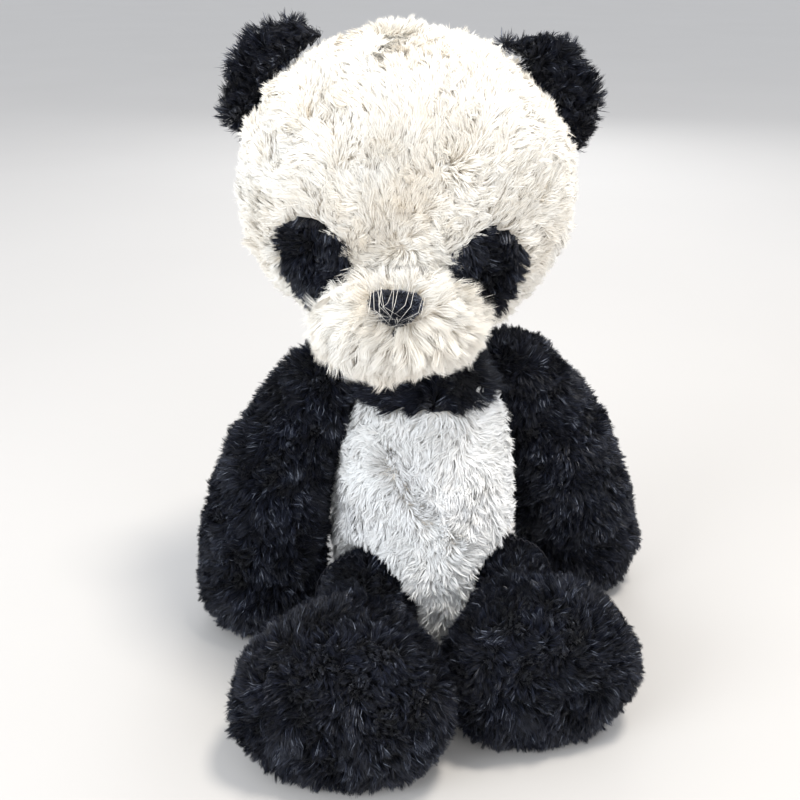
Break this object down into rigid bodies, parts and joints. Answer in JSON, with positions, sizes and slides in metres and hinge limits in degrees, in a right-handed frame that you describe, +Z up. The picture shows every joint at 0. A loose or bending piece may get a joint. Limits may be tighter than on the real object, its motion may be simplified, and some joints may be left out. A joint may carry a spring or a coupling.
{
  "type": "seated plush panda",
  "caption": "Seated soft-toy panda: long-pile head and belly, black ears, eye patches, yoke and limbs; head, ears, arms and legs flex at their seams.",
  "frame": {"origin": "centre of the flat seat, on the surface that the toy sits on", "axes": "+Z up, -Y to the front, +X to the toy's own left"},
  "size_m": [0.2611, 0.218, 0.3308],
  "materials": {
    "white_plush": "matte",
    "black_plush": "matte",
    "nose_velvet": "matte",
    "eye_plastic": "gloss",
    "washer_plastic": "satin",
    "stuffing": "matte",
    "bag_cotton": "matte",
    "pellets": "satin",
    "black_thread": "matte",
    "label_ribbon": "satin"
  },
  "bodies": {
    "torso": {"belly_panel": "white_plush", "chest_yoke": "black_plush", "back_yoke": "black_plush", "back_panel_left": "white_plush", "back_panel_right": "white_plush", "seat_panel": "white_plush", "torso_stuffing": "stuffing", "pellet_bag": "bag_cotton", "pellet_fill": "pellets", "tail_cover": "white_plush", "tail_stuffing": "stuffing", "sewn_label": "label_ribbon"},
    "neck": {"neck_stuffing": "stuffing"},
    "neck_joint": {"neck_seam": "black_thread"},
    "head": {"forehead_panel": "white_plush", "face_panel_left": "white_plush", "face_panel_right": "white_plush", "head_back_panel": "white_plush", "head_stuffing": "stuffing", "eye_patch_left": "black_plush", "eye_patch_right": "black_plush", "eye_left": "eye_plastic", "eye_right": "eye_plastic", "eye_washer_left": "washer_plastic", "eye_washer_right": "washer_plastic", "muzzle_cover": "white_plush", "muzzle_stuffing": "stuffing", "nose": "nose_velvet", "mouth_stitch": "black_thread"},
    "ear_left": {"ear_front_left": "black_plush", "ear_back_left": "black_plush"},
    "ear_right": {"ear_front_right": "black_plush", "ear_back_right": "black_plush"},
    "shoulder_left": {"shoulder_seam_left": "black_thread"},
    "arm_left": {"arm_front_left": "black_plush", "arm_back_left": "black_plush", "arm_stuffing_left": "stuffing"},
    "shoulder_right": {"shoulder_seam_right": "black_thread"},
    "arm_right": {"arm_front_right": "black_plush", "arm_back_right": "black_plush", "arm_stuffing_right": "stuffing"},
    "hip_left": {"hip_seam_left": "black_thread"},
    "leg_left": {"leg_outer_left": "black_plush", "leg_inner_left": "black_plush", "foot_sole_left": "black_plush", "leg_stuffing_left": "stuffing"},
    "hip_right": {"hip_seam_right": "black_thread"},
    "leg_right": {"leg_outer_right": "black_plush", "leg_inner_right": "black_plush", "foot_sole_right": "black_plush", "leg_stuffing_right": "stuffing"}
  },
  "joints": [
    {"name": "head_turn", "type": "hinge", "parent": "torso", "child": "neck", "pos_m": [-0.012, 0.004, 0.1755], "axis": [0, 0, 1], "range_deg": [-30, 45], "stiffness_Nm_per_rad": 1.2},
    {"name": "head_tilt", "type": "hinge", "parent": "neck", "child": "neck_joint", "pos_m": [-0.012, 0.004, 0.1755], "axis": [0.2504, 0.9681, 0], "range_deg": [-12, 12], "stiffness_Nm_per_rad": 1.2},
    {"name": "head_nod", "type": "hinge", "parent": "neck_joint", "child": "head", "pos_m": [-0.012, 0.004, 0.1755], "axis": [0.9672, -0.2501, -0.0436], "range_deg": [-18, 12], "stiffness_Nm_per_rad": 1.2},
    {"name": "ear_fold_left", "type": "hinge", "parent": "head", "child": "ear_left", "pos_m": [0.04923, -0.0108, 0.29189], "axis": [0.5344, -0.1382, -0.8339], "range_deg": [-15, 15], "stiffness_Nm_per_rad": 0.02},
    {"name": "ear_fold_right", "type": "hinge", "parent": "head", "child": "ear_right", "pos_m": [-0.06267, 0.01814, 0.29694], "axis": [-0.6027, 0.1559, -0.7826], "range_deg": [-15, 15], "stiffness_Nm_per_rad": 0.02},
    {"name": "arm_swing_left", "type": "hinge", "parent": "torso", "child": "shoulder_left", "pos_m": [0.052, 0.012, 0.145], "axis": [-0.8192, -0.5736, 0], "range_deg": [0, 45], "stiffness_Nm_per_rad": 0.25},
    {"name": "arm_raise_left", "type": "hinge", "parent": "shoulder_left", "child": "arm_left", "pos_m": [0.052, 0.012, 0.145], "axis": [0, -1, 0], "range_deg": [0, 45], "stiffness_Nm_per_rad": 0.25},
    {"name": "arm_swing_right", "type": "hinge", "parent": "torso", "child": "shoulder_right", "pos_m": [-0.052, 0.012, 0.145], "axis": [-0.8192, 0.5736, 0], "range_deg": [0, 45], "stiffness_Nm_per_rad": 0.25},
    {"name": "arm_raise_right", "type": "hinge", "parent": "shoulder_right", "child": "arm_right", "pos_m": [-0.052, 0.012, 0.145], "axis": [0, 1, 0], "range_deg": [0, 45], "stiffness_Nm_per_rad": 0.25},
    {"name": "leg_splay_left", "type": "hinge", "parent": "torso", "child": "hip_left", "pos_m": [0.037, -0.033, 0.038], "axis": [0, 0, 1], "range_deg": [0, 30], "stiffness_Nm_per_rad": 0.5},
    {"name": "leg_swing_left", "type": "hinge", "parent": "hip_left", "child": "leg_left", "pos_m": [0.037, -0.033, 0.038], "axis": [-0.9998, 0.0175, 0], "range_deg": [-12, 15], "stiffness_Nm_per_rad": 0.5},
    {"name": "leg_splay_right", "type": "hinge", "parent": "torso", "child": "hip_right", "pos_m": [-0.037, -0.033, 0.038], "axis": [0, 0, -1], "range_deg": [0, 8.5], "stiffness_Nm_per_rad": 0.5},
    {"name": "leg_swing_right", "type": "hinge", "parent": "hip_right", "child": "leg_right", "pos_m": [-0.037, -0.033, 0.038], "axis": [-0.9426, 0.3338, 0], "range_deg": [-12, 15], "stiffness_Nm_per_rad": 0.5}
  ]
}
